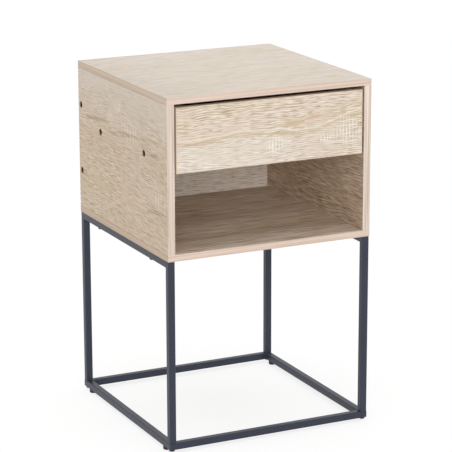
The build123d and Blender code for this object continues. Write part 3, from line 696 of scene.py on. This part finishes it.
epoxy_peel = 2.5 * mm
epoxy_depth = 0.1 * mm
white_epoxy, tree = new_material("white epoxy coated steel")
place = add(tree, "TexCoord", {}).outputs["Object"]
peel = add(tree, "TexNoise", {"Vector": place, "Scale": 1 / epoxy_peel, "Detail": 1.0})
epoxy_colour = add(tree, "MixRGB", {
    "Fac": peel.outputs["Fac"], "Color1": linear("#D9D9D4"), "Color2": linear("#E6E6E2")})
epoxy_bump = add(tree, "Bump", {
    "Height": peel.outputs["Fac"], "Strength": 0.15, "Distance": epoxy_depth})
epoxy = add(tree, "BsdfPrincipled", {
    "Base Color": epoxy_colour.outputs[0], "Roughness": 0.3, "Normal": epoxy_bump.outputs["Normal"]})
add(tree, "OutputMaterial", {"Surface": epoxy.outputs["BSDF"]})
members = ("cabinet", "drawer")
dress(white_epoxy, [f"{side}_{member}_runner" for side in sides for member in members])
dress(zinc_steel, [f"{member}_runner_screws" for member in members])
dress(zinc_steel, [f"{member}_roller_axles" for member in members])


# Rollers: white nylon tyres that spin on riveted axles, one on each runner member.
# The nylon is injection moulded and left as it comes, milky and a little cloudy.

nylon_cloud = 4 * mm
nylon_depth = 1 * mm
white_nylon, tree = new_material("moulded white nylon")
place = add(tree, "TexCoord", {}).outputs["Object"]
cloud = add(tree, "TexNoise", {"Vector": place, "Scale": 1 / nylon_cloud, "Detail": 2.0})
nylon_colour = add(tree, "MixRGB", {
    "Fac": cloud.outputs["Fac"], "Color1": linear("#E4E1D6"), "Color2": linear("#F0EEE6")})
nylon = add(tree, "BsdfPrincipled", {
    "Base Color": nylon_colour.outputs[0], "Roughness": 0.42, "Subsurface Weight": 0.1,
    "Subsurface Scale": nylon_depth})
add(tree, "OutputMaterial", {"Surface": nylon.outputs["BSDF"]})
dress(white_nylon, [f"{side}_{end}_roller" for side in sides for end in ends])


# Drawer: a front board with a finger gap above it, two sides and a back of foil wrapped board, and a
# hardboard bottom that slides in grooves. The front has no handle.

front_low, front_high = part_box("drawer_front")
front_middle = (front_low.z + front_high.z) / 2 / mm
streak_level = front_middle - 4.5
streak_sway = (215.0, 60.0, 3.5)
streak_climb = (75.0, 185.0, 17.0)
streak_half = 5.0
edge_above, edge_half = 6.0, 3.0
# How far below the streak the paler print is full, and where along the front it starts and is full.
pale_below = 9.0
pale_run = (130.0, -20.0)
knot_middle, knot_half = (44.0, front_middle + 10.5), (32.0, 8.4)
tail_middle, tail_half = (84.0, front_middle + 17.5), (26.0, 3.6)
front_saw_patches = (
    (8.0, front_middle - 26.0, 26.0, 24.0),
    (152.0, front_middle - 12.0, 40.0, 38.0),
    (106.0, front_middle - 22.0, 20.0, 14.0))


def front_figure(tree, flat, colour):
    """The front's own figure: a long swaying heart streak with a pale edge, and a pinkish knot.

    The board is paler below the streak, most of all at the left.
    """
    offset = above_streak(tree, flat, streak_level, streak_sway, streak_climb)
    along = add(tree, "SeparateXYZ", {"Vector": flat}).outputs["X"]
    left = add(tree, "MapRange", {
        "Value": along, "From Min": pale_run[0], "From Max": pale_run[1], "To Max": 0.25})
    lower = add(tree, "MapRange", {
        "Value": offset, "From Min": 0.0, "From Max": -pale_below, "To Max": left.outputs[0]})
    colour = print_over(tree, colour, lower.outputs[0], linear("#F8F6F4"))
    streak = faded(tree, flat, haze_size, band_share(tree, offset, streak_half, share=0.55))
    colour = print_over(tree, colour, streak, linear("#C8AF88"))
    over = add(tree, "Math", {0: offset, 1: edge_above}, operation="SUBTRACT").outputs[0]
    edge = band_share(tree, over, edge_half, share=0.35)
    colour = print_over(tree, colour, edge, linear("#F4EADB"))
    tail = ellipse(tree, flat, tail_middle, tail_half, core=0.3, slope=0.14)
    colour = print_over(tree, colour, tail, linear("#DBB79F"))
    knot = ellipse(tree, flat, knot_middle, knot_half, core=0.1, slope=0.06)
    return print_over(tree, colour, knot, linear("#D6BB9B"))


front_foil = oak_foil(
    "oak foil on the drawer front", left_right, up_down, front_back, cut_from=(430.0, 210.0, 0.0),
    accents=front_figure, saw_patches=front_saw_patches, ripple=4.5, long=1.15)
dress(front_foil, ["drawer_front"])
round_the_front, over_side_edge, over_back_edge = (1, 0, 1), (1, 0, 1), (0, 1, 1)
front_strip = edge_strip(
    "oak strip on the drawer front", round_the_front, front_back, "#CDB59E", "#E6D5C2")
dress(front_strip, ["drawer_front_edge_bands"])
sides_foil = oak_foil(
    "oak foil on the drawer sides", front_back, over_side_edge, left_right,
    cut_from=(600.0, 80.0, 0.0), wrapped=True)
dress(sides_foil, [f"drawer_{side}_side" for side in sides])
rear_foil = oak_foil(
    "oak foil on the drawer back", left_right, over_back_edge, front_back,
    cut_from=(820.0, 30.0, 0.0), wrapped=True)
dress(rear_foil, ["drawer_back"])

felt_size = (4.0, 1.4)
tray_middle = sum(corner.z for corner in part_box("drawer_bottom")) / 2 / mm


def bare_underside(tree, flat, colour):
    """The hardboard has oak paper on its upper face and shows its felted brown fibres below.

    The fibres are drawn coarser than real, so that they show.
    """
    height = add(tree, "SeparateXYZ", {"Vector": flat}).outputs["Z"]
    under = add(tree, "Math", {0: height, 1: tray_middle}, operation="LESS_THAN")
    felt = add(tree, "TexNoise", {
        "Vector": stretched(tree, flat, felt_size), "Scale": 1.0, "Detail": 3.0})
    brown = print_over(tree, linear("#8C6C4C"), felt.outputs["Fac"], linear("#B08D66"))
    return print_over(tree, colour, under.outputs[0], brown)


tray_paper = oak_foil(
    "oak paper on hardboard", left_right, front_back, up_down, cut_from=(150.0, 640.0, 0.0),
    accents=bare_underside, wrapped=True, cast="#F8F1E8", strength=0.8, ripple=4.0, long=1.5)
dress(tray_paper, ["drawer_bottom"])
dress(zinc_steel, ["drawer_back_screws", "drawer_bottom_nails"])


# Floor: a wide pale sweep of matt paper under the table.
# The camera and mirrors see it near white, and the table's soft shadow stays on it.

floor_size = 30.0
floor_glow = 0.79


def in_view(tree):
    """1 for the camera, mirrors and glass, and 0 for the light that falls on the table."""
    path = add(tree, "LightPath", {}).outputs
    seen = add(tree, "Math", {
        0: path["Is Camera Ray"], 1: path["Is Glossy Ray"]}, operation="MAXIMUM").outputs[0]
    return add(tree, "Math", {
        0: seen, 1: path["Is Transmission Ray"]}, operation="MAXIMUM").outputs[0]


bpy.ops.object.select_all(action="DESELECT")
bpy.ops.mesh.primitive_plane_add(size=floor_size)
floor = bpy.context.object
floor.name = "floor"
pale_sweep, tree = new_material("pale sweep")
lit = add(tree, "BsdfDiffuse", {"Color": linear("#E9E9E9")})
half_lit = add(tree, "BsdfDiffuse", {"Color": linear("#909090")})
glow = add(tree, "Emission", {"Color": linear("#FFFFFF"), "Strength": floor_glow})
bright = add(tree, "AddShader", {0: half_lit.outputs[0], 1: glow.outputs[0]})
sweep = add(tree, "MixShader", {"Fac": in_view(tree), 1: lit.outputs[0], 2: bright.outputs[0]})
add(tree, "OutputMaterial", {"Surface": sweep.outputs[0]})
floor.data.materials.append(pale_sweep)


# Light: a large soft key from the front left, a soft box overhead, and an even pale room.
# Each lamp has its level, the way that it shines and the angle that it spreads over, in degrees.

room_level = 0.4
lamps = {
    "key": (0.57, (0.37, 0.91, -0.18), 50.0),
    "overhead": (0.33, (0.0, 0.0, -1.0), 60.0)}
for name, (level, towards, spread) in lamps.items():
    turn = Vector(towards).to_track_quat("-Z", "Y").to_euler()
    bpy.ops.object.light_add(type="SUN", rotation=turn)
    lamp = bpy.context.object
    lamp.name = name
    lamp.data.energy = level * math.pi
    lamp.data.angle = math.radians(spread)
    lamp.visible_glossy = False
world = bpy.data.worlds.new("pale room")
bpy.context.scene.world = world
world.use_nodes = True
tree = world.node_tree
tree.nodes.clear()
room = add(tree, "Background", {"Color": linear("#FFFFFF"), "Strength": room_level})
white = add(tree, "Background", {"Color": linear("#FFFFFF"), "Strength": 1.0})
backdrop = add(tree, "MixShader", {"Fac": in_view(tree), 1: room.outputs[0], 2: white.outputs[0]})
add(tree, "OutputWorld", {"Surface": backdrop.outputs[0]})


# Camera: where the photograph was taken from, left of the front and above the top.
# It is held a little askew, as a hand does, with a long lens.

eye = Vector((-1.69105, -3.50862, 1.37821))
yaw = math.radians(-25.845)
pitch = math.radians(-14.810)
roll = math.radians(-0.166)
film_width = 36
focal_length = 173.20
forward = Vector((
    -math.sin(yaw) * math.cos(pitch), math.cos(yaw) * math.cos(pitch), math.sin(pitch)))
right = Vector((math.cos(yaw), math.sin(yaw), 0))
up = right.cross(forward)
upright = Matrix((right, up, -forward)).transposed().to_4x4()
bpy.ops.object.camera_add()
camera = bpy.context.object
camera.matrix_world = Matrix.Translation(eye) @ upright @ Matrix.Rotation(roll, 4, "Z")
camera.data.sensor_width = film_width
camera.data.lens = focal_length
bpy.context.scene.camera = camera


# Size: the weld beads lie inside the frame's corners, so the solids' box and the dressed table's box
# are equal.

bpy.context.view_layer.update()
